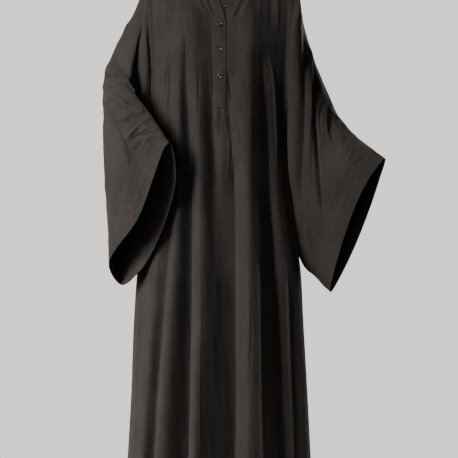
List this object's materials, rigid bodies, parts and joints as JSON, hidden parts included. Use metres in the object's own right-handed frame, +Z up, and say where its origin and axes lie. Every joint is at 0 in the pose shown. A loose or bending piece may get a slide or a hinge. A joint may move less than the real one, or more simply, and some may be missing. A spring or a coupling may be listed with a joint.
{
  "type": "abaya cloak",
  "caption": "Long loose abaya in the form it takes when worn, with wide open sleeves, a narrow neckband and a short buttoned front placket.",
  "frame": {"origin": "between the shoulders, level with the neck ends of the shoulder seams, where a wearer or a hanger holds the garment up", "axes": "+Z up, -Y the way the garment's front faces, +X towards the wearer's left arm"},
  "size_m": [0.7608, 0.4112, 1.4604],
  "materials": {
    "cloth": "matt",
    "buttons": "gloss"
  },
  "bodies": {
    "root": {"front": "cloth", "back": "cloth", "sleeve_right": "cloth", "sleeve_left": "cloth", "placket": "cloth", "under_placket": "cloth", "neckband": "cloth", "button_1": "buttons", "button_2": "buttons", "button_3": "buttons", "button_4": "buttons"}
  },
  "joints": []
}
